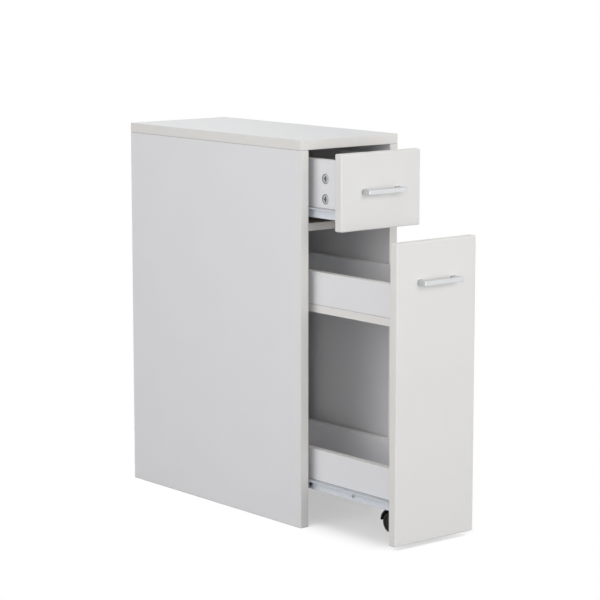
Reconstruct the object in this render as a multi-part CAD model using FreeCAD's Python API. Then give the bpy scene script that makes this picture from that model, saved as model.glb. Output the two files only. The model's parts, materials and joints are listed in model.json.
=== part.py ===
import FreeCAD
import Part
import os

# Slim niche cabinet: a narrow carcass with a drawer above a tall pull-out that carries two trays.
# Millimetres. +Z is up, the fronts face -Y, and the origin is the middle of the carcass on the floor.
# The drawer and the pull-out are worked out closed, and then drawn out as far as they stand open.

V = FreeCAD.Vector
X = V(1, 0, 0)
Y = V(0, 1, 0)
Z = V(0, 0, 1)

# Carcass and boards
CARCASS_WIDTH = 190.0
CARCASS_DEPTH = 425.0
CARCASS_HEIGHT = 580.0
PANEL = 15.0  # carcass boards, fronts and rear upright
THIN_BOARD = 12.0  # fixed shelf, drawer box and trays
HARDBOARD = 3.0  # back panel and drawer bottom
EDGE_ROUND = 0.8  # rounding of the edge band
FRONT_ROUND = 2.0  # softer edges of the two fronts
GROOVE = 5.0  # depth of the grooves that hold the hardboard
BACK_INSET = 10.0  # from the carcass's rear edge to the back panel
REAR_RAIL_HEIGHT = 70.0

# Inset fronts and the gaps round them
FRONT_SIDE_GAP = 3.0
FRONT_TOP_GAP = 2.0
BETWEEN_FRONTS = 4.0
FLOOR_GAP = 7.0
DRAWER_FRONT_HEIGHT = 113.0
SHELF_SETBACK = 2.0  # behind the back face of the closed fronts
SHELF_LAP = 5.0  # the drawer front hangs this far below the shelf's top

# How far the drawer and the pull-out stand open
DRAWER_OPEN = 70.0
PULL_OUT_OPEN = 190.0

# Roller slides of folded and coated sheet steel
RUNNER_SPACE = 12.5  # between the carcass side and the drawer or tray
BEHIND_RUNNERS = 47.0  # from the closed drawer's runners to the back panel
RUNNER_HEIGHT = 15.0
RUNNER_LEG = 10.0  # reach under the drawer side or tray
STEEL = 1.2
BEND = 0.9
RAIL_LIP_GAP = 1.2  # from the rail's lips to the runner
RAIL_HEADROOM = 1.0  # above the runner's flange
FLANGE_GAP = 1.8  # from the runner's flange to the rail's web
ROLLER_RADIUS = 6.0
ROLLER_SIDE_GAP = 2.0  # from a roller to the steel beside it
ROLLER_END = 8.0  # from the end of the rail or runner to the roller's middle
PIN_RADIUS = 2.0
PIN_HEAD_RADIUS = 3.0
PIN_HEAD = 0.3
RUN_GAP = 0.3  # between a roller and its track
SPIN_FIT = 0.05  # radial, between a pin and what turns on it
RAIL_SCREW_FIRST = 30.0
RAIL_SCREW_PITCH = 128.0
RUNNER_SCREW_FIRST = 86.0
RUNNER_SCREW_PITCH = 96.0
RUNNER_SCREW_HEIGHT = 7.0
SLIDE_END_CLEAR = 20.0  # no screw stands nearer to a slide's rear end

# Drawer box
DRAWER_LIFT = 10.0  # from the shelf to the runner
DRAWER_SIDE_DROP = 11.4  # from the top of the drawer front to the top of the sides
DRAWER_BOTTOM_LIFT = 12.0
DRAWER_CAM_PITCH = 30.0
DRAWER_SCREW_PITCH = 40.0

# Trays of the pull-out
TRAY_PAST_RUNNER = 2.0
TRAY_WALL_HEIGHT = 49.0
LOWER_TRAY_HEIGHT = 56.5  # underside above the floor
UPPER_TRAY_DROP = 122.0  # from the top of the pull-out's front to the underside
TRAY_CAM_INSET = 21.5  # from the tray's side

# Handles
HANDLE_PITCH = 64.0
HANDLE_LEG = 10.0
HANDLE_TALL = 7.0
HANDLE_BAR = 4.0
HANDLE_REACH = 16.0
HANDLE_ROUND = 0.6
PULL_OUT_HANDLE_DROP = 58.5  # from the top of the pull-out's front
HANDLE_SCREW_RADIUS = 2.0
HANDLE_SCREW_BITE = 8.0

# Knock-down fittings
FIT = 0.05
CAM_RADIUS = 7.5
CAM_SKIN = 2.5  # wood left under the cam lock
CAM_SUNK = 0.4
CAM_BEVEL = 0.9  # round the cam lock's face
CAM_EDGE = 32.0  # from the cam lock's middle to the joint
CROSS_LENGTH = 8.0
CROSS_WIDTH = 2.2
CROSS_DEPTH = 2.0
BOLT_RADIUS = 3.0
BOLT_HEAD = 2.0
BOLT_NECK = 3.0
BOLT_NECK_RADIUS = 1.7
BOLT_SKIN = 4.0  # wood left beyond the bolt
DOWEL_RADIUS = 4.0
THIN_DOWEL_RADIUS = 3.0
DOWEL_SKIN = 5.0  # wood left beyond the dowel in a board's face
DOWEL_LONG = 20.0  # into a board's end
TOP_CAM_INSET = 62.0  # from the front and rear edges
TOP_DOWEL_INSET = 132.0
SHELF_CAM_INSET = 50.0
REAR_RAIL_CAM_INSET = 24.0  # from the lower edge
REAR_RAIL_DOWEL_INSET = 20.0  # from the upper edge
SCREW_RADIUS = 1.75
SCREW_HEAD_RADIUS = 3.2
SCREW_HEAD_HEIGHT = 1.2
SCREW_CROSS = 4.0
SCREW_SKIN = 4.0  # wood left beyond a short screw
BOX_SCREW_BITE = 28.0
WALL_SCREW_BITE = 20.0
FLAT_HEAD_HEIGHT = 2.6

# Hooded twin-wheel castor
CASTOR_BACK = 71.0  # from the front's back face to the axle
CASTOR_TRAIL = 6.0  # from the kingpin to the axle
WHEEL_RADIUS = 15.5
WHEEL_WIDTH = 8.0
WHEEL_ROUND = 1.5
WHEEL_DISH_RADIUS = 11.0
WHEEL_DISH_DEPTH = 0.8
WHEEL_GAP = 0.5
HOOD_GAP = 2.5
HOOD_WALL = 2.5
HOOD_WEB = 4.0
HOOD_LIP_HEIGHT = 16.5
AXLE_RADIUS = 2.5
KINGPIN_RADIUS = 4.0
KINGPIN_COLLAR = 2.0
KINGPIN_COLLAR_HEIGHT = 1.2
BOSS_WALL = 4.0
BOSS_FLOOR = 2.0
PLATE_SIZE = 38.0
PLATE_THICK = 2.0
PLATE_HOLE_OUT = 13.0
PLATE_CORNER = 3.0

# Places that follow from the sizes above
half_width = CARCASS_WIDTH / 2
inner_half = half_width - PANEL
front_half = inner_half - FRONT_SIDE_GAP
box_half = inner_half - RUNNER_SPACE
front_y = -CARCASS_DEPTH / 2
rear_y = CARCASS_DEPTH / 2
behind_fronts = front_y + PANEL
back_y = rear_y - BACK_INSET - HARDBOARD
side_top = CARCASS_HEIGHT - PANEL
rail_front = behind_fronts + SHELF_SETBACK
runner_rear = back_y - BEHIND_RUNNERS
runner_length = runner_rear - behind_fronts
tray_rear = runner_rear + TRAY_PAST_RUNNER

drawer_front_top = side_top - FRONT_TOP_GAP
drawer_front_bottom = drawer_front_top - DRAWER_FRONT_HEIGHT
shelf_top = drawer_front_bottom + SHELF_LAP
shelf_bottom = shelf_top - THIN_BOARD
drawer_level = shelf_top + DRAWER_LIFT
drawer_side_bottom = drawer_level + STEEL
drawer_side_top = drawer_front_top - DRAWER_SIDE_DROP
pull_out_front_top = drawer_front_bottom - BETWEEN_FRONTS
pull_out_level = LOWER_TRAY_HEIGHT - STEEL
upper_tray_height = pull_out_front_top - UPPER_TRAY_DROP
upper_wall_top = upper_tray_height + THIN_BOARD + TRAY_WALL_HEIGHT

web_x = inner_half - STEEL
runner_x = box_half + STEEL
roller_x = (web_x + runner_x) / 2
roller_half = (web_x - runner_x) / 2 - ROLLER_SIDE_GAP


def box(x0, x1, y0, y1, z0, z1):
    """A sharp-edged block between two corners."""
    return Part.makeBox(x1 - x0, y1 - y0, z1 - z0, V(x0, y0, z0))


def board(x0, x1, y0, y1, z0, z1, edge_round=EDGE_ROUND):
    """A coated board with its banded edges rounded."""
    block = box(x0, x1, y0, y1, z0, z1)
    return block.makeFillet(edge_round, block.Edges)


def front_board(z0, z1):
    """The board of a closed inset front between two heights."""
    return board(-front_half, front_half, front_y, behind_fronts, z0, z1, FRONT_ROUND)


def rod(radius, start, end):
    """A round bar from one point to another."""
    return Part.makeCylinder(radius, (end - start).Length, start, end - start)


def mirrored(shape):
    """The same piece on the right-hand side."""
    return shape.mirror(V(0, 0, 0), X)


def both_sides(shapes):
    """Left-hand pieces with their right-hand twins."""
    return shapes + [mirrored(shape) for shape in shapes]


def drilled(shape, tools):
    """The piece with the holes, grooves and pockets that reach it."""
    near = [tool for tool in tools if tool.BoundBox.intersect(shape.BoundBox)]
    return shape.cut(near).Solids[0]


def placed(shape, origin, outward, along):
    """A fitting made along +X with its face towards +Z, moved to its place."""
    moved = shape.copy()
    turn = FreeCAD.Rotation(along, outward.cross(along), outward, "XZY")
    moved.Placement = FreeCAD.Placement(origin, turn)
    return moved


def cross_recess(length, top):
    """The cutter for a cross-shaped driver recess that opens at a height."""
    share = length / CROSS_LENGTH
    long_half = length / 2
    short_half = CROSS_WIDTH * share / 2
    depth = CROSS_DEPTH * share
    one = box(-long_half, long_half, -short_half, short_half, top - depth, top + depth)
    other = box(-short_half, short_half, -long_half, long_half, top - depth, top + depth)
    return one.fuse(other)


def cam_joint(face_point, outward, towards, thick):
    """A cam lock in a board's face, the bolt that it draws in, and the holes for both."""
    depth = thick - CAM_SKIN
    middle = -thick / 2
    bolt_end = CAM_EDGE + PANEL - BOLT_SKIN
    hole = rod(CAM_RADIUS + FIT, V(0, 0, -depth), V(0, 0, CAM_SKIN))
    bolt_hole = rod(BOLT_RADIUS + FIT, V(-BOLT_HEAD - FIT, 0, middle), V(bolt_end, 0, middle))
    rim = V(0, 0, -CAM_SUNK - CAM_BEVEL)
    crown = Part.makeCone(CAM_RADIUS, CAM_RADIUS - CAM_BEVEL, CAM_BEVEL, rim)
    lock = rod(CAM_RADIUS, V(0, 0, FIT - depth), rim).fuse(crown)
    lock = lock.cut([bolt_hole, cross_recess(CROSS_LENGTH, -CAM_SUNK)])
    head = rod(BOLT_RADIUS, V(-BOLT_HEAD, 0, middle), V(0, 0, middle))
    neck = rod(BOLT_NECK_RADIUS, V(-BOLT_HEAD / 2, 0, middle), V(BOLT_NECK + BOLT_HEAD, 0, middle))
    shank = rod(BOLT_RADIUS, V(BOLT_NECK, 0, middle), V(bolt_end - FIT, 0, middle))
    bolt = head.fuse([neck, shank])
    return [placed(shape, face_point, outward, towards) for shape in (lock, bolt, hole, bolt_hole)]


def dowel(point, axis, radius):
    """A dowel from one board's face into the next board's end, and its hole in both."""
    near = point - axis * (PANEL - DOWEL_SKIN)
    far = point + axis * DOWEL_LONG
    return rod(radius, near, far), rod(radius + FIT, near - axis * FIT, far + axis * FIT)


def pan_screw(point, inward, length, radius=SCREW_RADIUS):
    """A pan-head screw with its head on a face, and the hole for it."""
    wide = SCREW_HEAD_RADIUS * radius / SCREW_RADIUS
    head = rod(wide, V(0, 0, 0), V(0, 0, SCREW_HEAD_HEIGHT))
    shank = rod(radius, V(0, 0, -length), V(0, 0, SCREW_HEAD_HEIGHT / 2))
    screw = head.fuse(shank).cut(cross_recess(SCREW_CROSS, SCREW_HEAD_HEIGHT))
    hole = rod(radius + FIT, V(0, 0, -length - FIT), V(0, 0, SCREW_HEAD_HEIGHT))
    along = V(inward.y, inward.z, inward.x)
    return placed(screw, point, inward * -1, along), placed(hole, point, inward * -1, along)


def flat_screw(point, inward, length):
    """A countersunk screw, flush with a face, and the hole for it."""
    tip = point + inward * length
    neck = point + inward * (FLAT_HEAD_HEIGHT / 2)
    cone = Part.makeCone(SCREW_HEAD_RADIUS, SCREW_RADIUS, FLAT_HEAD_HEIGHT, point, inward)
    sink = Part.makeCone(SCREW_HEAD_RADIUS + FIT, SCREW_RADIUS + FIT, FLAT_HEAD_HEIGHT, point, inward)
    screw = cone.fuse(rod(SCREW_RADIUS, neck, tip))
    hole = sink.fuse(rod(SCREW_RADIUS + FIT, neck, tip + inward * FIT))
    return screw, hole


def rows(fittings):
    """Pairs of a fitting and its hole, as a row of fittings and a row of holes."""
    return [fitting for fitting, hole in fittings], [hole for fitting, hole in fittings]


def spaced(start, first, pitch, end):
    """Places along Y at an even pitch that stay clear of an end."""
    count = int((end - start - first) / pitch) + 1
    return [start + first + pitch * index for index in range(count)]


def folded_strip(corners, bends, y0, y1):
    """Folded sheet steel: a section of (x, z) corners, with its bends rounded, run along Y."""
    points = [V(x, y0, z) for x, z in corners + corners[:1]]
    strip = Part.Face(Part.makePolygon(points)).extrude(Y * (y1 - y0))
    rounded = []
    for edge in strip.Edges:
        middle = edge.BoundBox.Center
        at_bend = any((middle - V(x, middle.y, z)).Length < FIT for x, z in bends)
        if at_bend and edge.BoundBox.YLength > BEND:
            rounded.append(edge)
    return strip.makeFillet(BEND, rounded)


def roller_height(level):
    """The height of the roller axes of a slide whose runner starts at a level."""
    return level + RUNNER_HEIGHT - STEEL - RUN_GAP - ROLLER_RADIUS


def roller_pin(y, z, root, tip):
    """A riveted pin, with a head at its tip, that a roller turns on."""
    head_tip = tip + PIN_HEAD * (1 if tip > root else -1)
    shaft = rod(PIN_RADIUS, V(root, y, z), V(tip, y, z))
    return shaft.fuse(rod(PIN_HEAD_RADIUS, V(tip, y, z), V(head_tip, y, z)))


def left_rail(level):
    """The channel on the carcass's left side, with the pin of its front roller."""
    axis_z = roller_height(level)
    low = axis_z - ROLLER_RADIUS - RUN_GAP
    high = level + RUNNER_HEIGHT + RAIL_HEADROOM
    lip = runner_x + RAIL_LIP_GAP
    corners = [
        (-inner_half, low - STEEL),
        (-lip, low - STEEL),
        (-lip, low),
        (-web_x, low),
        (-web_x, high),
        (-lip, high),
        (-lip, high + STEEL),
        (-inner_half, high + STEEL),
    ]
    channel = folded_strip(corners, [corners[0], corners[-1]], rail_front, rail_front + runner_length)
    tip = roller_half + SPIN_FIT - roller_x
    return channel.fuse(roller_pin(rail_front + ROLLER_END, axis_z, -web_x - STEEL / 2, tip))


def left_runner(level):
    """The runner on the left of a drawer or tray, with the pin of its rear roller."""
    top = level + RUNNER_HEIGHT
    flange = web_x - FLANGE_GAP
    leg = box_half - RUNNER_LEG
    corners = [
        (-leg, level),
        (-runner_x, level),
        (-runner_x, top - STEEL),
        (-flange, top - STEEL),
        (-flange, top),
        (-box_half, top),
        (-box_half, level + STEEL),
        (-leg, level + STEEL),
    ]
    strip = folded_strip(corners, [corners[1], corners[5]], behind_fronts, runner_rear)
    tip = -roller_half - SPIN_FIT - roller_x
    axis_z = roller_height(level)
    return strip.fuse(roller_pin(runner_rear - ROLLER_END, axis_z, -box_half - STEEL / 2, tip))


def rollers(y, level):
    """A left and a right roller on one line across the cabinet."""
    middle = V(-roller_x, y, roller_height(level))
    wheel = rod(ROLLER_RADIUS, middle - X * roller_half, middle + X * roller_half)
    bore = rod(PIN_RADIUS + SPIN_FIT, middle - X * RUNNER_SPACE, middle + X * RUNNER_SPACE)
    return both_sides([wheel.cut(bore)])


def left_rail_screws(level):
    """The screws that hold a rail to the left side panel, and their holes."""
    z = roller_height(level) + RAIL_HEADROOM
    length = STEEL + PANEL - SCREW_SKIN
    end = rail_front + runner_length - SLIDE_END_CLEAR
    places = spaced(rail_front, RAIL_SCREW_FIRST, RAIL_SCREW_PITCH, end)
    return rows([pan_screw(V(-web_x, y, z), X * -1, length) for y in places])


def left_runner_screws(level):
    """The screws that hold a runner to the left of a drawer or tray, and their holes."""
    z = level + RUNNER_SCREW_HEIGHT
    length = STEEL + THIN_BOARD - SCREW_SKIN
    places = spaced(behind_fronts, RUNNER_SCREW_FIRST, RUNNER_SCREW_PITCH, runner_rear - SLIDE_END_CLEAR)
    return rows([pan_screw(V(-runner_x, y, z), X, length) for y in places])


def carcass():
    """The fixed cabinet: boards, fittings and the rails on its sides."""
    half_panel = PANEL / 2
    rear_rail_top = FLOOR_GAP + REAR_RAIL_HEIGHT
    cam_x = CAM_EDGE - inner_half
    cams = []
    for y in (front_y + TOP_CAM_INSET, rear_y - TOP_CAM_INSET):
        cams.append(cam_joint(V(-inner_half, y, side_top - CAM_EDGE), X, Z, PANEL))
    for y in (rail_front + SHELF_CAM_INSET, back_y - SHELF_CAM_INSET):
        cams.append(cam_joint(V(cam_x, y, shelf_bottom), Z * -1, X * -1, THIN_BOARD))
    rear_rail_cam = V(cam_x, back_y - PANEL, FLOOR_GAP + REAR_RAIL_CAM_INSET)
    cams.append(cam_joint(rear_rail_cam, Y * -1, X * -1, PANEL))

    pins = []
    for y in (front_y + TOP_DOWEL_INSET, rear_y - TOP_DOWEL_INSET):
        pins.append(dowel(V(half_panel - half_width, y, side_top), Z * -1, DOWEL_RADIUS))
    pins.append(dowel(V(-inner_half, 0, shelf_top - THIN_BOARD / 2), X, THIN_DOWEL_RADIUS))
    rear_rail_dowel = V(-inner_half, back_y - half_panel, rear_rail_top - REAR_RAIL_DOWEL_INSET)
    pins.append(dowel(rear_rail_dowel, X, DOWEL_RADIUS))

    dowels, dowel_holes = rows(pins)
    drawer_screws, drawer_screw_holes = left_rail_screws(drawer_level)
    pull_out_screws, pull_out_screw_holes = left_rail_screws(pull_out_level)
    holes = [hole for cam in cams for hole in cam[2:]]
    holes = both_sides(holes + dowel_holes + drawer_screw_holes + pull_out_screw_holes)
    groove_half = inner_half + GROOVE
    groove_top = side_top + GROOVE
    groove = box(-groove_half, groove_half, back_y - FIT, back_y + HARDBOARD + FIT, -GROOVE, groove_top)
    back_half = groove_half - FIT

    left_side = board(-half_width, -inner_half, front_y, rear_y, 0, side_top)
    left_side = drilled(left_side, holes + [groove])
    top = board(-half_width, half_width, front_y, rear_y, side_top, CARCASS_HEIGHT)
    shelf = board(-inner_half, inner_half, rail_front, back_y, shelf_bottom, shelf_top)
    rear_rail = board(-inner_half, inner_half, back_y - PANEL, back_y, FLOOR_GAP, rear_rail_top)
    back = box(-back_half, back_half, back_y, back_y + HARDBOARD, FLOOR_GAP, groove_top - FIT)
    drawer_rail = drilled(left_rail(drawer_level), holes)
    pull_out_rail = drilled(left_rail(pull_out_level), holes)
    return {
        "side_panel_left": [left_side],
        "side_panel_right": [mirrored(left_side)],
        "top_panel": [drilled(top, holes + [groove])],
        "fixed_shelf": [drilled(shelf, holes)],
        "back_panel": [back],
        "rear_rail": [drilled(rear_rail, holes)],
        "carcass_cam_locks": both_sides([cam[0] for cam in cams]),
        "carcass_cam_bolts": both_sides([cam[1] for cam in cams]),
        "carcass_dowels": both_sides(dowels),
        "drawer_rail_left": [drawer_rail],
        "drawer_rail_right": [mirrored(drawer_rail)],
        "pull_out_rail_left": [pull_out_rail],
        "pull_out_rail_right": [mirrored(pull_out_rail)],
        "rail_screws": both_sides(drawer_screws + pull_out_screws),
        "drawer_rail_rollers": rollers(rail_front + ROLLER_END, drawer_level),
        "pull_out_rail_rollers": rollers(rail_front + ROLLER_END, pull_out_level),
    }


def handle(z):
    """A slim bow handle on the closed front at a height, its screws and their holes."""
    screw_x = HANDLE_PITCH / 2
    end = screw_x + HANDLE_LEG / 2
    inside = screw_x - HANDLE_LEG / 2
    low = z - HANDLE_TALL / 2
    bar_back = front_y - HANDLE_REACH + HANDLE_BAR
    block = box(-end, end, front_y - HANDLE_REACH, front_y, low, low + HANDLE_TALL)
    bow = block.cut(box(-inside, inside, bar_back, behind_fronts, low - HANDLE_TALL, z + HANDLE_TALL))
    bow = bow.makeFillet(HANDLE_ROUND, bow.Edges)
    length = PANEL + HANDLE_SCREW_BITE
    places = [V(x, behind_fronts, z) for x in (-screw_x, screw_x)]
    screws, holes = rows([pan_screw(place, Y * -1, length, HANDLE_SCREW_RADIUS) for place in places])
    return drilled(bow, holes), screws, holes


def drawer():
    """The drawer: front, box, handle, runners and fittings."""
    inside_half = box_half - THIN_BOARD
    back_front = runner_rear - THIN_BOARD
    side_middle = (drawer_side_bottom + drawer_side_top) / 2
    cams = []
    for z in (side_middle - DRAWER_CAM_PITCH / 2, side_middle + DRAWER_CAM_PITCH / 2):
        cams.append(cam_joint(V(-box_half, behind_fronts + CAM_EDGE, z), X * -1, Y * -1, THIN_BOARD))
    box_fittings = []
    for z in (side_middle - DRAWER_SCREW_PITCH / 2, side_middle + DRAWER_SCREW_PITCH / 2):
        head = V(-box_half, runner_rear - THIN_BOARD / 2, z)
        box_fittings.append(flat_screw(head, X, THIN_BOARD + BOX_SCREW_BITE))
    box_screws, box_screw_holes = rows(box_fittings)
    runner_screws, runner_screw_holes = left_runner_screws(drawer_level)
    holes = [hole for cam in cams for hole in cam[2:]]
    holes = both_sides(holes + box_screw_holes + runner_screw_holes)
    bow, handle_screws, handle_holes = handle((drawer_front_bottom + drawer_front_top) / 2)

    bottom_z = drawer_side_bottom + DRAWER_BOTTOM_LIFT
    bottom_top = bottom_z + HARDBOARD
    groove_half = inside_half + GROOVE
    groove_front = behind_fronts - GROOVE
    groove_rear = back_front + GROOVE
    groove = box(-groove_half, groove_half, groove_front, groove_rear, bottom_z - FIT, bottom_top + FIT)
    bottom_half = groove_half - FIT
    bottom = box(-bottom_half, bottom_half, groove_front + FIT, groove_rear - FIT, bottom_z, bottom_top)

    front = front_board(drawer_front_bottom, drawer_front_top)
    back = board(-inside_half, inside_half, back_front, runner_rear, drawer_side_bottom, drawer_side_top)
    left_side = board(
        -box_half, -inside_half, behind_fronts, runner_rear, drawer_side_bottom, drawer_side_top
    )
    left_side = drilled(left_side, holes + [groove])
    runner = drilled(left_runner(drawer_level), holes)
    return {
        "drawer_front": [drilled(front, holes + handle_holes + [groove])],
        "drawer_side_left": [left_side],
        "drawer_side_right": [mirrored(left_side)],
        "drawer_back": [drilled(back, holes + [groove])],
        "drawer_bottom": [bottom],
        "drawer_cam_locks": both_sides([cam[0] for cam in cams]),
        "drawer_cam_bolts": both_sides([cam[1] for cam in cams]),
        "drawer_box_screws": both_sides(box_screws),
        "drawer_handle": [bow],
        "drawer_handle_screws": handle_screws,
        "drawer_runner_left": [runner],
        "drawer_runner_right": [mirrored(runner)],
        "drawer_runner_screws": both_sides(runner_screws),
        "drawer_runner_rollers": rollers(runner_rear - ROLLER_END, drawer_level),
    }


def castor_head(axle_y, king_y, boss_top):
    """What swivels and rolls: the hood with its web and boss, the axle and the two wheels."""
    axle = V(0, axle_y, WHEEL_RADIUS)
    wheel_inner = HOOD_WEB / 2 + WHEEL_GAP
    wheel_outer = wheel_inner + WHEEL_WIDTH
    hood_inside = WHEEL_RADIUS + HOOD_GAP
    hood_outside = hood_inside + HOOD_WALL

    def across(radius, x0, x1):
        """A round bar about the axle's line."""
        return rod(radius, axle + X * x0, axle + X * x1)

    def below(height):
        """All the room under the hood up to a height."""
        hood_front = axle_y - hood_outside
        hood_back = axle_y + hood_outside
        return box(-hood_outside, hood_outside, hood_front, hood_back, -hood_outside, height)

    hood_middle = (hood_inside + hood_outside) / 2
    web_bottom = WHEEL_RADIUS - AXLE_RADIUS - HOOD_WALL
    wheel_room = across(hood_inside, -hood_outside, hood_outside)
    fender = across(hood_outside, -wheel_outer, wheel_outer).cut([wheel_room, below(HOOD_LIP_HEIGHT)])
    web = across(hood_middle, -HOOD_WEB / 2, HOOD_WEB / 2).cut(below(web_bottom))
    boss = rod(KINGPIN_RADIUS + BOSS_WALL, V(0, king_y, WHEEL_RADIUS), V(0, king_y, boss_top))
    boss = boss.cut(across(hood_middle, -hood_outside, hood_outside))
    king_hole = rod(KINGPIN_RADIUS + SPIN_FIT, V(0, king_y, king_floor()), V(0, king_y, LOWER_TRAY_HEIGHT))
    axle_hole = across(AXLE_RADIUS + FIT, -HOOD_WEB, HOOD_WEB)
    hood = drilled(fender.fuse([web, boss]), [king_hole, axle_hole])

    wheel = across(WHEEL_RADIUS, wheel_inner, wheel_outer)
    wheel = wheel.makeFillet(WHEEL_ROUND, wheel.Edges)
    axle_end = wheel_outer - WHEEL_DISH_DEPTH
    dish = across(WHEEL_DISH_RADIUS, axle_end, wheel_outer + WHEEL_WIDTH)
    bore = across(AXLE_RADIUS + SPIN_FIT, 0, wheel_outer + WHEEL_WIDTH)
    wheel = drilled(wheel, [dish, bore])
    return {
        "castor_hood": [hood],
        "castor_axle": [across(AXLE_RADIUS, -axle_end, axle_end)],
        "castor_wheel_right": [wheel],
        "castor_wheel_left": [mirrored(wheel)],
    }


def king_floor():
    """The height of the floor of the kingpin's hole, above the hood."""
    return 2 * WHEEL_RADIUS + HOOD_GAP + HOOD_WALL + BOSS_FLOOR


def castor():
    """The hooded twin-wheel castor under the lower tray, and the holes for its plate's screws."""
    axle_y = behind_fronts + CASTOR_BACK
    king_y = axle_y - CASTOR_TRAIL
    plate_bottom = LOWER_TRAY_HEIGHT - PLATE_THICK
    boss_top = plate_bottom - KINGPIN_COLLAR_HEIGHT - RUN_GAP
    king_top = V(0, king_y, LOWER_TRAY_HEIGHT)
    kingpin = rod(KINGPIN_RADIUS, V(0, king_y, king_floor() + RUN_GAP), king_top)
    collar_radius = KINGPIN_RADIUS + KINGPIN_COLLAR
    collar = rod(collar_radius, V(0, king_y, boss_top + RUN_GAP), V(0, king_y, plate_bottom))

    reach = PLATE_SIZE / 2
    plate = box(-reach, reach, king_y - reach, king_y + reach, plate_bottom, LOWER_TRAY_HEIGHT)
    upright_edges = [edge for edge in plate.Edges if edge.BoundBox.XLength + edge.BoundBox.YLength < FIT]
    plate = plate.makeFillet(PLATE_CORNER, upright_edges)
    king_seat = rod(KINGPIN_RADIUS + FIT, V(0, king_y, boss_top), king_top + Z * THIN_BOARD)
    length = PLATE_THICK + THIN_BOARD - SCREW_SKIN
    out = PLATE_HOLE_OUT
    places = [V(x, king_y + y, plate_bottom) for x in (-out, out) for y in (-out, out)]
    screws, holes = rows([pan_screw(place, Z, length) for place in places])
    nodes = {
        "castor_plate": [drilled(plate, holes + [king_seat])],
        "castor_plate_screws": screws,
        "castor_kingpin": [kingpin.fuse(collar)],
    }
    nodes.update(castor_head(axle_y, king_y, boss_top))
    return nodes, holes


def pull_out():
    """The pull-out: tall front, two trays, rear upright, handle, runners, castor and fittings."""
    wall_inner = box_half - THIN_BOARD
    wall_middle = box_half - THIN_BOARD / 2
    cam_x = box_half - TRAY_CAM_INSET
    wall_screw_first = RUNNER_SCREW_FIRST - RUNNER_SCREW_PITCH / 2
    wall_places = spaced(behind_fronts, wall_screw_first, RUNNER_SCREW_PITCH, tray_rear - SLIDE_END_CLEAR)
    cams = []
    pins = []
    wall_fittings = []
    for height in (LOWER_TRAY_HEIGHT, upper_tray_height):
        for end, outward in ((behind_fronts, Y * -1), (tray_rear, Y)):
            cams.append(cam_joint(V(-cam_x, end, height) - outward * CAM_EDGE, Z * -1, outward, THIN_BOARD))
            pin_place = V(-cam_x / 2, end, height + THIN_BOARD / 2)
            pins.append(dowel(pin_place, outward * -1, THIN_DOWEL_RADIUS))
        for y in wall_places:
            wall_fittings.append(flat_screw(V(-wall_middle, y, height), Z, THIN_BOARD + WALL_SCREW_BITE))

    dowels, dowel_holes = rows(pins)
    wall_screws, wall_screw_holes = rows(wall_fittings)
    runner_screws, runner_screw_holes = left_runner_screws(pull_out_level)
    castor_nodes, castor_holes = castor()
    bow, handle_screws, handle_holes = handle(pull_out_front_top - PULL_OUT_HANDLE_DROP)
    holes = [hole for cam in cams for hole in cam[2:]]
    holes = both_sides(holes + dowel_holes + wall_screw_holes + runner_screw_holes)
    holes += castor_holes + handle_holes

    front = front_board(FLOOR_GAP, pull_out_front_top)
    upright = board(-box_half, box_half, tray_rear, tray_rear + PANEL, LOWER_TRAY_HEIGHT, upper_wall_top)
    runner = drilled(left_runner(pull_out_level), holes)
    nodes = {
        "pull_out_front": [drilled(front, holes)],
        "rear_upright": [drilled(upright, holes)],
        "pull_out_cam_locks": both_sides([cam[0] for cam in cams]),
        "pull_out_cam_bolts": both_sides([cam[1] for cam in cams]),
        "pull_out_dowels": both_sides(dowels),
        "tray_wall_screws": both_sides(wall_screws),
        "pull_out_handle": [bow],
        "pull_out_handle_screws": handle_screws,
        "pull_out_runner_left": [runner],
        "pull_out_runner_right": [mirrored(runner)],
        "pull_out_runner_screws": both_sides(runner_screws),
        "pull_out_runner_rollers": rollers(runner_rear - ROLLER_END, pull_out_level),
    }
    for tray, height in (("upper_tray", upper_tray_height), ("lower_tray", LOWER_TRAY_HEIGHT)):
        seam = height + THIN_BOARD
        tray_board = board(-box_half, box_half, behind_fronts, tray_rear, height, seam)
        left_wall = board(-box_half, -wall_inner, behind_fronts, tray_rear, seam, seam + TRAY_WALL_HEIGHT)
        left_wall = drilled(left_wall, holes)
        nodes[tray + "_board"] = [drilled(tray_board, holes)]
        nodes[tray + "_wall_left"] = [left_wall]
        nodes[tray + "_wall_right"] = [mirrored(left_wall)]
    nodes.update(castor_nodes)
    return nodes


os.makedirs("parts", exist_ok=True)
for assembly, opened in ((carcass(), 0.0), (drawer(), DRAWER_OPEN), (pull_out(), PULL_OUT_OPEN)):
    for name, solids in assembly.items():
        shape = solids[0] if len(solids) == 1 else Part.makeCompound(solids)
        shape.translate(Y * -opened)
        shape.exportStep(os.path.join("parts", name + ".step"))
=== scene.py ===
import json
import math

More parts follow.
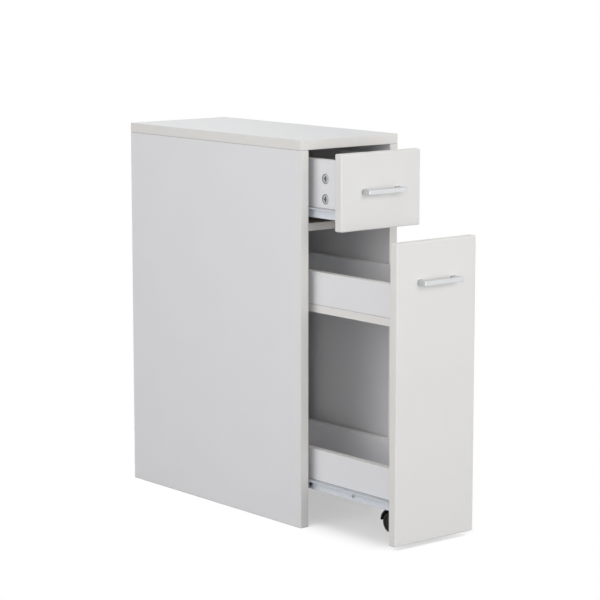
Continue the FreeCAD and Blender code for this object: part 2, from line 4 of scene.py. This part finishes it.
import bpy
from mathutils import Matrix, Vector


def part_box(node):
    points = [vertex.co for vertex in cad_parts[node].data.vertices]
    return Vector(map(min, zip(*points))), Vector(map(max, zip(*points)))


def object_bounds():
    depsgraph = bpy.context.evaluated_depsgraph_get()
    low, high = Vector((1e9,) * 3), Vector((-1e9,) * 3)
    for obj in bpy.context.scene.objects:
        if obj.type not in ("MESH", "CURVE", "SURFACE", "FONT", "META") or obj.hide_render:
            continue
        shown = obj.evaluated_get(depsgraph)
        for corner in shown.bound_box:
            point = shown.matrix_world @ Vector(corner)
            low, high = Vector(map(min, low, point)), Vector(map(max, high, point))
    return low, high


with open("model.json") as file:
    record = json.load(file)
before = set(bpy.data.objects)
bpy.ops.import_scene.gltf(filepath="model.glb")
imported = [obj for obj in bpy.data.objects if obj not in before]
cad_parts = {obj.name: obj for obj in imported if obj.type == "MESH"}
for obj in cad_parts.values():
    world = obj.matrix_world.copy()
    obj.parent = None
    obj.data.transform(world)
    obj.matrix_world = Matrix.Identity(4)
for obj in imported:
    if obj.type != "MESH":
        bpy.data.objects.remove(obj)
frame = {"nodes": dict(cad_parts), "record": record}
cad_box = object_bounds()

nodes = frame["nodes"]
MM = 0.001

# The photograph's camera: a long lens a little above the cabinet, looking at its left front corner
# (place and sight in metres, angles in degrees, lens and sensor in millimetres)
CAMERA_PLACE = (-2.17934, -2.72137, 0.86308)
CAMERA_YAW = 39.699
CAMERA_PITCH = 9.020
CAMERA_LENS = 134.91
SENSOR_WIDTH = 36
CAMERA_SIGHT = 200

# Studio light: the room's even light, and softboxes (place, aim, side in metres, watts)
ROOM_LIGHT = 0.27
SOFTBOXES = {
    "front_softbox": ((0.1, -2.2, 0.85), (0.0, -0.3, 0.35), 1.6, 22.5),
    "left_softbox": ((-2.0, -0.3, 1.0), (0.0, -0.1, 0.35), 1.9, 23.0),
    "fill_softbox": ((-2.1, -2.5, 0.8), (0.0, -0.2, 0.3), 1.5, 8.0),
    "overhead_softbox": ((0.0, -0.3, 2.4), (0.0, -0.1, 0.3), 2.0, 10.0),
    "right_softbox": ((2.2, 0.1, 0.9), (0.0, 0.0, 0.3), 1.6, 8.0),
    "rear_softbox": ((0.7, 2.2, 1.4), (0.0, 0.0, 0.3), 2.0, 8.0),
    "low_rear_softbox": ((1.4, 1.8, 0.28), (0.0, 0.0, 0.28), 0.55, 28.0),
}

# Floor and its shadow (lengths in metres)
FLOOR_SIDE = 120
SHADOW_WHITE = 0.465  # what the floor shows of white in the shadow
SHADOW_INSETS = (0.062, 0.035)  # from the outline to where it starts to fade: left and front, right and back
SHADOW_FADE = 0.078  # from there to plain white
SHADOW_STEEPNESS = (1, 1.45, 1)  # shortens the fade towards the front
SHADOW_RIM = (8, -8, 0)  # shortens it more at the right and front rims, towards +X and -Y
SHADOW_HEIGHT = 0.12  # how far off a piece can shelter the floor
BARE_SKY = (0.78, 0.94)  # shares of open sky over which the floor turns plain white
SHELTERED_SKY = (0.2, 0.42)  # shares under which it stays in shadow

# Melamine by the axis along which a board is thin, each face a slightly different white: a painted tint of
# the light, warmer on the fronts and a little bluer on the sides and tops
BOARD_LIGHT_TINTED_FACES = {"X": "#e6e6e8", "Y": "#e5e4e3", "Z": "#e4e5e6"}


def linear(colour):
    """An sRGB hex colour as linear red, green, blue and alpha."""
    parts = [int(colour[i:i + 2], 16) / 255 for i in (1, 3, 5)]
    return [p / 12.92 if p <= 0.04045 else ((p + 0.055) / 1.055) ** 2.4 for p in parts] + [1.0]


def per_metre(millimetres):
    """The scale of a pattern whose features are so many millimetres apart."""
    return 1 / (millimetres * MM)


def add(tree, kind, links=None, inputs=None, stops=None, **settings):
    """One shader node with its settings, its input values, its links and its colour stops."""
    made = tree.nodes.new(kind)
    for name, value in settings.items():
        setattr(made, name, value)
    for socket, value in (inputs or {}).items():
        made.inputs[socket].default_value = value
    for socket, source in (links or {}).items():
        tree.links.new(source, made.inputs[socket])
    if stops:
        ramp = made.color_ramp.elements
        ramp[1].position = stops[-1][0]
        ramp[0].position = stops[0][0]
        for position, _ in stops[1:-1]:
            ramp.new(position)
        for element, (_, colour) in zip(ramp, stops):
            element.color = linear(colour)
    return made


def new_material(name):
    """An empty material: itself, its node tree and its texture coordinates."""
    made = bpy.data.materials.new(name)
    made.use_nodes = True
    made.node_tree.nodes.clear()
    place = add(made.node_tree, "ShaderNodeTexCoord")
    return made, made.node_tree, place


def finish_material(tree, links, inputs):
    """The surface shader, linked to the material's output."""
    shader = add(tree, "ShaderNodeBsdfPrincipled", links, inputs)
    add(tree, "ShaderNodeOutputMaterial", {"Surface": shader.outputs["BSDF"]})


def seen_rays(tree):
    """1 for a ray that shows the floor or the room, straight or in a glossy surface, 0 for their light."""
    rays = add(tree, "ShaderNodeLightPath")
    shiny = add(
        tree, "ShaderNodeMath",
        {0: rays.outputs["Is Glossy Ray"], 1: rays.outputs["Is Transmission Ray"]}, operation="MAXIMUM",
    )
    return add(
        tree, "ShaderNodeMath",
        {0: rays.outputs["Is Camera Ray"], 1: shiny.outputs["Value"]}, operation="MAXIMUM",
    )


def melamine(thin_axis, face):
    """Melamine-faced chipboard with an ABS edge band, for boards that are thin along one axis.

    Printed paper pressed under resin: a hard, even, satin white with a fine pearl grain. The band on the
    narrow faces is a slightly warmer white, and a faint grey line shows on the arris, where it was trimmed.
    The joints between boards are darkened a little: painted shade of the gap, with some dust.
    """
    made, tree, place = new_material("white_melamine_" + thin_axis.lower())
    turn = add(tree, "ShaderNodeSeparateXYZ", {"Vector": place.outputs["Normal"]})
    flat = add(tree, "ShaderNodeMath", {0: turn.outputs[thin_axis]}, operation="ABSOLUTE")
    skin = add(
        tree, "ShaderNodeValToRGB", {"Fac": flat.outputs["Value"]},
        stops=[(0.0, "#e4e2df"), (0.25, "#e4e2df"), (0.5, "#dad9d6"), (0.75, "#e0e0df"), (0.97, face)],
    )
    cloud = add(
        tree, "ShaderNodeTexNoise", {"Vector": place.outputs["Object"]},
        {"Scale": per_metre(90), "Detail": 3.0, "Roughness": 0.55},
    )
    shade = add(
        tree, "ShaderNodeMapRange", {"Value": cloud.outputs["Fac"]},
        {"From Min": 0.3, "From Max": 0.7, "To Min": 0.99, "To Max": 1.006},
    )
    # Painted shade with some dust: the colour darkens where another board stands within 2 mm, in the joints
    joint_shade = add(tree, "ShaderNodeAmbientOcclusion", inputs={"Distance": 2 * MM})
    shade_and_dust = add(
        tree, "ShaderNodeMapRange", {"Value": joint_shade.outputs["AO"]},
        {"From Min": 0.35, "From Max": 0.85, "To Min": 0.2, "To Max": 1.0},
    )
    value = add(
        tree, "ShaderNodeMath",
        {0: shade.outputs["Result"], 1: shade_and_dust.outputs["Result"]}, operation="MULTIPLY",
    )
    colour = add(
        tree, "ShaderNodeHueSaturation", {"Color": skin.outputs["Color"], "Value": value.outputs["Value"]}
    )
    # The real pearl grain is about 0.5 mm, and is drawn at 1.6 mm so that it shows
    pearl = add(
        tree, "ShaderNodeTexNoise", {"Vector": place.outputs["Object"]},
        {"Scale": per_metre(1.6), "Detail": 2.0, "Roughness": 0.5},
    )
    gloss = add(
        tree, "ShaderNodeMapRange", {"Value": pearl.outputs["Fac"]},
        {"From Min": 0.3, "From Max": 0.7, "To Min": 0.44, "To Max": 0.54},
    )
    grain = add(
        tree, "ShaderNodeBump", {"Height": pearl.outputs["Fac"]}, {"Strength": 0.35, "Distance": 0.06 * MM}
    )
    finish_material(
        tree,
        {
            "Base Color": colour.outputs["Color"],
            "Roughness": gloss.outputs["Result"],
            "Normal": grain.outputs["Normal"],
        },
        {"IOR": 1.5},
    )
    return made


def hardboard(name, axis, raw_from, raw_to):
    """Hardboard lacquered white on one face and raw on the other, which an axis of the normal tells apart.

    Wood fibre pressed wet on a wire screen: the lacquered face is flat and dull white, and the raw face is
    brown and mottled, with the screen's weave printed in it.
    """
    made, tree, place = new_material(name)
    turn = add(tree, "ShaderNodeSeparateXYZ", {"Vector": place.outputs["Normal"]})
    raw = add(
        tree, "ShaderNodeMapRange", {"Value": turn.outputs[axis]}, {"From Min": raw_from, "From Max": raw_to}
    )
    fibre = add(
        tree, "ShaderNodeTexNoise", {"Vector": place.outputs["Object"]},
        {"Scale": per_metre(6), "Detail": 7.0, "Roughness": 0.7, "Distortion": 0.6},
    )
    brown = add(
        tree, "ShaderNodeValToRGB", {"Fac": fibre.outputs["Fac"]},
        stops=[(0.3, "#5f4832"), (0.5, "#7f6347"), (0.72, "#a18361")],
    )
    white = add(
        tree, "ShaderNodeValToRGB", {"Fac": fibre.outputs["Fac"]},
        stops=[(0.3, "#dad8d3"), (0.7, "#e0dfdb")],
    )
    # A mix of colours has its factor at socket 0, its two colours at 6 and 7, and its result at 2
    colour = add(
        tree, "ShaderNodeMix",
        {0: raw.outputs["Result"], 6: white.outputs["Color"], 7: brown.outputs["Color"]}, data_type="RGBA",
    )
    # The screen's real mesh is about 1.5 mm, and is drawn at 3 mm so that it shows
    mesh = add(
        tree, "ShaderNodeTexChecker", {"Vector": place.outputs["Object"]}, {"Scale": per_metre(3)}
    )
    relief = add(
        tree, "ShaderNodeMath", {0: mesh.outputs["Fac"], 1: raw.outputs["Result"]}, operation="MULTIPLY"
    )
    weave = add(
        tree, "ShaderNodeBump", {"Height": relief.outputs["Value"]}, {"Strength": 0.4, "Distance": 0.1 * MM}
    )
    dull = add(
        tree, "ShaderNodeMapRange", {"Value": raw.outputs["Result"]}, {"To Min": 0.5, "To Max": 0.8}
    )
    finish_material(
        tree,
        {
            "Base Color": colour.outputs[2],
            "Roughness": dull.outputs["Result"],
            "Normal": weave.outputs["Normal"],
        },
        {"IOR": 1.5},
    )
    return made


def coated_steel():
    """Folded sheet steel with a baked white epoxy powder coat.

    A cool bluish white, half glossy, with the slight orange peel of powder that ran together as it baked.
    Faces that turn up, such as the runners' flanges, are darkened to a grey: a painted shade line along the
    runners.
    """
    made, tree, place = new_material("epoxy_coated_steel")
    peel = add(
        tree, "ShaderNodeTexNoise", {"Vector": place.outputs["Object"]},
        {"Scale": per_metre(2.2), "Detail": 1.5, "Roughness": 0.4},
    )
    colour = add(
        tree, "ShaderNodeValToRGB", {"Fac": peel.outputs["Fac"]},
        stops=[(0.3, "#dadfe7"), (0.7, "#e2e6ec")],
    )
    turn = add(tree, "ShaderNodeSeparateXYZ", {"Vector": place.outputs["Normal"]})
    # Painted shade: faces that turn up are painted darker, down to two thirds of their value
    upward_shade = add(
        tree, "ShaderNodeMapRange", {"Value": turn.outputs["Z"]},
        {"From Min": 0.5, "From Max": 0.9, "To Min": 1.0, "To Max": 0.66},
    )
    upward_shaded = add(
        tree, "ShaderNodeHueSaturation", {"Color": colour.outputs["Color"], "Value": upward_shade.outputs["Result"]}
    )
    gloss = add(
        tree, "ShaderNodeMapRange", {"Value": peel.outputs["Fac"]}, {"To Min": 0.28, "To Max": 0.42}
    )
    surface = add(
        tree, "ShaderNodeBump", {"Height": peel.outputs["Fac"]}, {"Strength": 0.4, "Distance": 0.08 * MM}
    )
    finish_material(
        tree,
        {
            "Base Color": upward_shaded.outputs["Color"],
            "Roughness": gloss.outputs["Result"],
            "Normal": surface.outputs["Normal"],
        },
        {"IOR": 1.52},
    )
    return made


def zinc(name, dark, light, tint, patch, rough_low, rough_high):
    """Zinc on fasteners and plates, with patches of so many millimetres from a dark to a tinted grey."""
    made, tree, place = new_material(name)
    patches = add(
        tree, "ShaderNodeTexNoise", {"Vector": place.outputs["Object"]},
        {"Scale": per_metre(patch), "Detail": 4.0, "Roughness": 0.6},
    )
    colour = add(
        tree, "ShaderNodeValToRGB", {"Fac": patches.outputs["Fac"]},
        stops=[(0.3, dark), (0.52, light), (0.75, tint)],
    )
    # Driver recesses are darkened: painted shade, with some dark grease and dust
    open_sky = add(tree, "ShaderNodeAmbientOcclusion", inputs={"Distance": 3 * MM})
    shade_and_dust = add(
        tree, "ShaderNodeMapRange", {"Value": open_sky.outputs["AO"]},
        {"From Min": 0.35, "From Max": 0.9, "To Min": 0.3, "To Max": 1.0},
    )
    shaded = add(
        tree, "ShaderNodeHueSaturation", {"Color": colour.outputs["Color"], "Value": shade_and_dust.outputs["Result"]}
    )
    crystal = add(
        tree, "ShaderNodeTexVoronoi", {"Vector": place.outputs["Object"]}, {"Scale": per_metre(0.9)}
    )
    gloss = add(
        tree, "ShaderNodeMapRange", {"Value": crystal.outputs["Distance"]},
        {"From Max": 0.8, "To Min": rough_low, "To Max": rough_high},
    )
    surface = add(
        tree, "ShaderNodeBump", {"Height": patches.outputs["Fac"]}, {"Strength": 0.25, "Distance": 0.05 * MM}
    )
    finish_material(
        tree,
        {
            "Base Color": shaded.outputs["Color"],
            "Roughness": gloss.outputs["Result"],
            "Normal": surface.outputs["Normal"],
        },
        {"Metallic": 1.0},
    )
    return made


def satin_aluminium():
    """Aluminium bar, brushed along its length and anodised in its natural colour.

    Bright silver with a soft sheen, and fine scratches along the handle that spread the light across it.
    """
    made, tree, place = new_material("satin_aluminium")
    # The real scratches are about 0.1 mm apart, and are drawn 0.5 mm apart and 40 mm long
    stretch = add(
        tree, "ShaderNodeMapping", {"Vector": place.outputs["Object"]},
        {"Scale": (per_metre(40), per_metre(0.5), per_metre(0.5))},
    )
    scratches = add(
        tree, "ShaderNodeTexNoise", {"Vector": stretch.outputs["Vector"]},
        {"Scale": 1.0, "Detail": 4.0, "Roughness": 0.65},
    )
    colour = add(
        tree, "ShaderNodeValToRGB", {"Fac": scratches.outputs["Fac"]},
        stops=[(0.3, "#bdbfc1"), (0.7, "#d6d8d9")],
    )
    gloss = add(
        tree, "ShaderNodeMapRange", {"Value": scratches.outputs["Fac"]}, {"To Min": 0.3, "To Max": 0.48}
    )
    surface = add(
        tree, "ShaderNodeBump", {"Height": scratches.outputs["Fac"]},
        {"Strength": 0.25, "Distance": 0.03 * MM},
    )
    finish_material(
        tree,
        {
            "Base Color": colour.outputs["Color"],
            "Roughness": gloss.outputs["Result"],
            "Normal": surface.outputs["Normal"],
        },
        {"Metallic": 1.0},
    )
    return made


def nylon():
    """Moulded natural nylon, as slide rollers are: creamy, waxy, a little see-through, with flow clouds."""
    made, tree, place = new_material("natural_nylon")
    flow = add(
        tree, "ShaderNodeTexNoise", {"Vector": place.outputs["Object"]},
        {"Scale": per_metre(4), "Detail": 3.0, "Roughness": 0.5},
    )
    colour = add(
        tree, "ShaderNodeValToRGB", {"Fac": flow.outputs["Fac"]},
        stops=[(0.3, "#dcd7cb"), (0.7, "#e9e6de")],
    )
    gloss = add(
        tree, "ShaderNodeMapRange", {"Value": flow.outputs["Fac"]}, {"To Min": 0.34, "To Max": 0.5}
    )
    finish_material(
        tree,
        {"Base Color": colour.outputs["Color"], "Roughness": gloss.outputs["Result"]},
        {"IOR": 1.53, "Subsurface Weight": 0.1, "Subsurface Scale": 1.5 * MM},
    )
    return made


def castor_plastic(name, dust_from, dust_to):
    """Black polyamide, moulded against a spark-eroded tool, as castors are.

    Deep black and half matt with a fine even grain. Where a face turns away from the axle's line it takes
    on a thin grey coat of floor dust and scuffs, which the two limits set.
    """
    made, tree, place = new_material(name)
    turn = add(tree, "ShaderNodeSeparateXYZ", {"Vector": place.outputs["Normal"]})
    sideways = add(tree, "ShaderNodeMath", {0: turn.outputs["X"]}, operation="ABSOLUTE")
    tread = add(
        tree, "ShaderNodeMapRange", {"Value": sideways.outputs["Value"]},
        {"From Min": 0.6, "From Max": 0.2, "To Min": dust_from, "To Max": dust_to},
    )
    # The real grain is about 0.2 mm, and is drawn at 0.7 mm so that it shows
    spark = add(
        tree, "ShaderNodeTexNoise", {"Vector": place.outputs["Object"]},
        {"Scale": per_metre(0.7), "Detail": 2.0, "Roughness": 0.6},
    )
    scuffs = add(
        tree, "ShaderNodeTexNoise", {"Vector": place.outputs["Object"]},
        {"Scale": per_metre(3), "Detail": 5.0, "Roughness": 0.7},
    )
    worn = add(
        tree, "ShaderNodeMath", {0: scuffs.outputs["Fac"], 1: tread.outputs["Result"]}, operation="MULTIPLY"
    )
    colour = add(
        tree, "ShaderNodeValToRGB", {"Fac": worn.outputs["Value"]},
        stops=[(0.0, "#0c0c0d"), (0.25, "#131313"), (0.6, "#2c2b2a")],
    )
    gloss = add(
        tree, "ShaderNodeMapRange", {"Value": spark.outputs["Fac"]}, {"To Min": 0.4, "To Max": 0.58}
    )
    surface = add(
        tree, "ShaderNodeBump", {"Height": spark.outputs["Fac"]}, {"Strength": 0.4, "Distance": 0.05 * MM}
    )
    finish_material(
        tree,
        {
            "Base Color": colour.outputs["Color"],
            "Roughness": gloss.outputs["Result"],
            "Normal": surface.outputs["Normal"],
        },
        {"IOR": 1.53, "Specular IOR Level": 0.3},
    )
    return made


def beech():
    """Raw beech dowel: pinkish straw, close-grained, with short darker flecks and a dry surface."""
    made, tree, place = new_material("raw_beech")
    flecks = add(
        tree, "ShaderNodeTexNoise", {"Vector": place.outputs["Object"]},
        {"Scale": per_metre(1.2), "Detail": 5.0, "Roughness": 0.65},
    )
    colour = add(
        tree, "ShaderNodeValToRGB", {"Fac": flecks.outputs["Fac"]},
        stops=[(0.3, "#a87b51"), (0.5, "#cda374"), (0.75, "#dcb98d")],
    )
    surface = add(
        tree, "ShaderNodeBump", {"Height": flecks.outputs["Fac"]}, {"Strength": 0.3, "Distance": 0.05 * MM}
    )
    finish_material(
        tree,
        {"Base Color": colour.outputs["Color"], "Normal": surface.outputs["Normal"]},
        {"Roughness": 0.65, "IOR": 1.5},
    )
    return made


def white_paper(low, high):
    """Smooth white paper for the floor, round an object with these two corners.

    It keeps the cabinet's shadow, and shows as plain white further off. The shadow fades out from inside the
    cabinet's outline at rest, and sooner at the right and front. Bare floor is plain white at any pose, and
    sheltered floor is in shadow, so that the shadow moves with the pull-out.
    """
    made, tree, place = new_material("white_paper_floor")
    seen = seen_rays(tree)
    start = [low[axis] + SHADOW_INSETS[0] for axis in (0, 1)]
    end = [high[axis] - SHADOW_INSETS[1] for axis in (0, 1)]
    middle = [(start[axis] + end[axis]) / 2 for axis in (0, 1)] + [0]
    reach = [(end[axis] - start[axis]) / 2 for axis in (0, 1)] + [0]
    rim_start = [(high[axis] - middle[axis]) * abs(SHADOW_RIM[axis]) for axis in (0, 1)] + [0]
    offset = add(
        tree, "ShaderNodeVectorMath", {0: place.outputs["Object"]}, {1: middle}, operation="SUBTRACT"
    )
    either_side = add(tree, "ShaderNodeVectorMath", {0: offset.outputs["Vector"]}, operation="ABSOLUTE")
    past = add(
        tree, "ShaderNodeVectorMath", {0: either_side.outputs["Vector"]}, {1: reach}, operation="SUBTRACT"
    )
    outside = add(
        tree, "ShaderNodeVectorMath", {0: past.outputs["Vector"]}, {1: (0, 0, 0)}, operation="MAXIMUM"
    )
    steeper = add(
        tree, "ShaderNodeVectorMath", {0: outside.outputs["Vector"]}, {1: SHADOW_STEEPNESS},
        operation="MULTIPLY",
    )
    rim = add(
        tree, "ShaderNodeVectorMath", {0: offset.outputs["Vector"]}, {1: SHADOW_RIM}, operation="MULTIPLY"
    )
    past_rim = add(
        tree, "ShaderNodeVectorMath", {0: rim.outputs["Vector"]}, {1: rim_start}, operation="SUBTRACT"
    )
    cut = add(
        tree, "ShaderNodeVectorMath", {0: past_rim.outputs["Vector"]}, {1: (0, 0, 0)}, operation="MAXIMUM"
    )
    both = add(
        tree, "ShaderNodeVectorMath", {0: steeper.outputs["Vector"], 1: cut.outputs["Vector"]},
        operation="ADD",
    )
    far = add(tree, "ShaderNodeVectorMath", {0: both.outputs["Vector"]}, operation="LENGTH")
    fade = add(
        tree, "ShaderNodeMapRange", {"Value": far.outputs["Value"]}, {"From Max": SHADOW_FADE},
        interpolation_type="SMOOTHSTEP",
    )
    open_sky = add(tree, "ShaderNodeAmbientOcclusion", inputs={"Distance": SHADOW_HEIGHT})
    bare = add(
        tree, "ShaderNodeMapRange", {"Value": open_sky.outputs["AO"]},
        {"From Min": BARE_SKY[0], "From Max": BARE_SKY[1]}, interpolation_type="SMOOTHSTEP",
    )
    sheltered = add(
        tree, "ShaderNodeMapRange", {"Value": open_sky.outputs["AO"]},
        {"From Min": SHELTERED_SKY[0], "From Max": SHELTERED_SKY[1]}, interpolation_type="SMOOTHSTEP",
    )
    paled = add(
        tree, "ShaderNodeMath",
        {0: fade.outputs["Result"], 1: sheltered.outputs["Result"]}, operation="MINIMUM",
    )
    plain = add(
        tree, "ShaderNodeMath", {0: paled.outputs["Value"], 1: bare.outputs["Result"]}, operation="MAXIMUM"
    )
    seen_plain = add(
        tree, "ShaderNodeMath", {0: seen.outputs["Value"], 1: plain.outputs["Value"]}, operation="MULTIPLY"
    )
    shade = add(
        tree, "ShaderNodeValToRGB", {"Fac": seen.outputs["Value"]},
        stops=[(0.0, "#a8a8a8"), (1.0, "#b0b0b0")],
    )
    lift = add(tree, "ShaderNodeMapRange", {"Value": seen.outputs["Value"]}, {"To Max": SHADOW_WHITE})
    sheet = add(
        tree, "ShaderNodeBsdfPrincipled",
        {"Base Color": shade.outputs["Color"], "Emission Strength": lift.outputs["Result"]},
        {"Roughness": 1.0, "Specular IOR Level": 0.0, "Emission Color": linear("#ffffff")},
    )
    white = add(tree, "ShaderNodeEmission", inputs={"Color": linear("#ffffff"), "Strength": 1.0})
    shown = add(
        tree, "ShaderNodeMixShader",
        {0: seen_plain.outputs["Value"], 1: sheet.outputs["BSDF"], 2: white.outputs["Emission"]},
    )
    add(tree, "ShaderNodeOutputMaterial", {"Surface": shown.outputs["Shader"]})
    return made


# Finishes by the record's material slot, and by node where a slot covers more than one finish
# One melamine per axis, differing only in the painted light tint of the face
boards = {axis: melamine(axis, face) for axis, face in BOARD_LIGHT_TINTED_FACES.items()}
# Electroplated and passivated: bright, with faint straw and blue patches
zinc_plate = zinc(
    "zinc_plate", "#a4abb4", "#c3c7cb", "#ccc8ba", patch=3.0, rough_low=0.2, rough_high=0.36
)
# Pressure-cast and tumbled: greyer and duller, without the tint
die_cast_zinc = zinc(
    "die_cast_zinc", "#aeb1b3", "#c8cacb", "#d2d3d4", patch=1.5, rough_low=0.34, rough_high=0.5
)
finishes = {
    "coated_steel": coated_steel(),
    "zinc_steel": zinc_plate,
    "satin_metal": satin_aluminium(),
    "nylon": nylon(),
    "beech": beech(),
}
node_finishes = {
    "back_panel": hardboard("back_hardboard", "Y", raw_from=0.4, raw_to=0.6),
    "drawer_bottom": hardboard("drawer_bottom_hardboard", "Z", raw_from=-0.4, raw_to=-0.6),
    "carcass_cam_locks": die_cast_zinc,
    "drawer_cam_locks": die_cast_zinc,
    "pull_out_cam_locks": die_cast_zinc,
    "castor_hood": castor_plastic("castor_hood_polyamide", dust_from=0.15, dust_to=0.15),
    "castor_wheel_left": castor_plastic("castor_wheel_left_polyamide", dust_from=0.2, dust_to=1.0),
    "castor_wheel_right": castor_plastic("castor_wheel_right_polyamide", dust_from=0.2, dust_to=1.0),
}


def finish_of(node, slot):
    """The finish of a node: boards are told apart by the axis along which they are thin."""
    if slot == "white_melamine":
        low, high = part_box(node)
        sides = [high[axis] - low[axis] for axis in range(3)]
        return boards["XYZ"[sides.index(min(sides))]]
    return node_finishes[node] if node in node_finishes else finishes[slot]


for part in frame["record"]["subparts"]:
    for place in nodes[part["node"]].material_slots:
        place.material = finish_of(part["node"], part["material_slot"])

# Floor: one wide sheet under the cabinet
bpy.ops.mesh.primitive_plane_add(size=FLOOR_SIDE)
floor = bpy.context.object
floor.name = "floor"
floor.data.materials.append(white_paper(*cad_box))

# Room: even white light, seen as plain white
room = bpy.data.worlds.new("white_room")
bpy.context.scene.world = room
room.use_nodes = True
tree = room.node_tree
tree.nodes.clear()
level = add(
    tree, "ShaderNodeMapRange", {"Value": seen_rays(tree).outputs["Value"]},
    {"To Min": ROOM_LIGHT, "To Max": 1.0},
)
sky = add(
    tree, "ShaderNodeBackground", {"Strength": level.outputs["Result"]}, {"Color": linear("#ffffff")}
)
add(tree, "ShaderNodeOutputWorld", {"Surface": sky.outputs["Background"]})

# Softboxes, each turned towards its aim
for name, (spot, aim, side, watts) in SOFTBOXES.items():
    lamp = bpy.data.lights.new(name, "AREA")
    lamp.size = side
    lamp.energy = watts
    softbox = bpy.data.objects.new(name, lamp)
    bpy.context.collection.objects.link(softbox)
    softbox.location = spot
    softbox.rotation_mode = "QUATERNION"
    softbox.rotation_quaternion = (Vector(aim) - Vector(spot)).to_track_quat("-Z", "Y")

# Camera, turned by its yaw and pitch from the +Y axis
lens = bpy.data.cameras.new("camera")
lens.lens = CAMERA_LENS
lens.sensor_width = SENSOR_WIDTH
lens.clip_end = CAMERA_SIGHT
camera = bpy.data.objects.new("camera", lens)
bpy.context.collection.objects.link(camera)
camera.location = CAMERA_PLACE
yaw = math.radians(CAMERA_YAW)
pitch = math.radians(CAMERA_PITCH)
sight = Vector((math.sin(yaw) * math.cos(pitch), math.cos(yaw) * math.cos(pitch), -math.sin(pitch)))
camera.rotation_mode = "QUATERNION"
camera.rotation_quaternion = sight.to_track_quat("-Z", "Y")
bpy.context.scene.camera = camera
bpy.context.scene.view_settings.view_transform = "Standard"
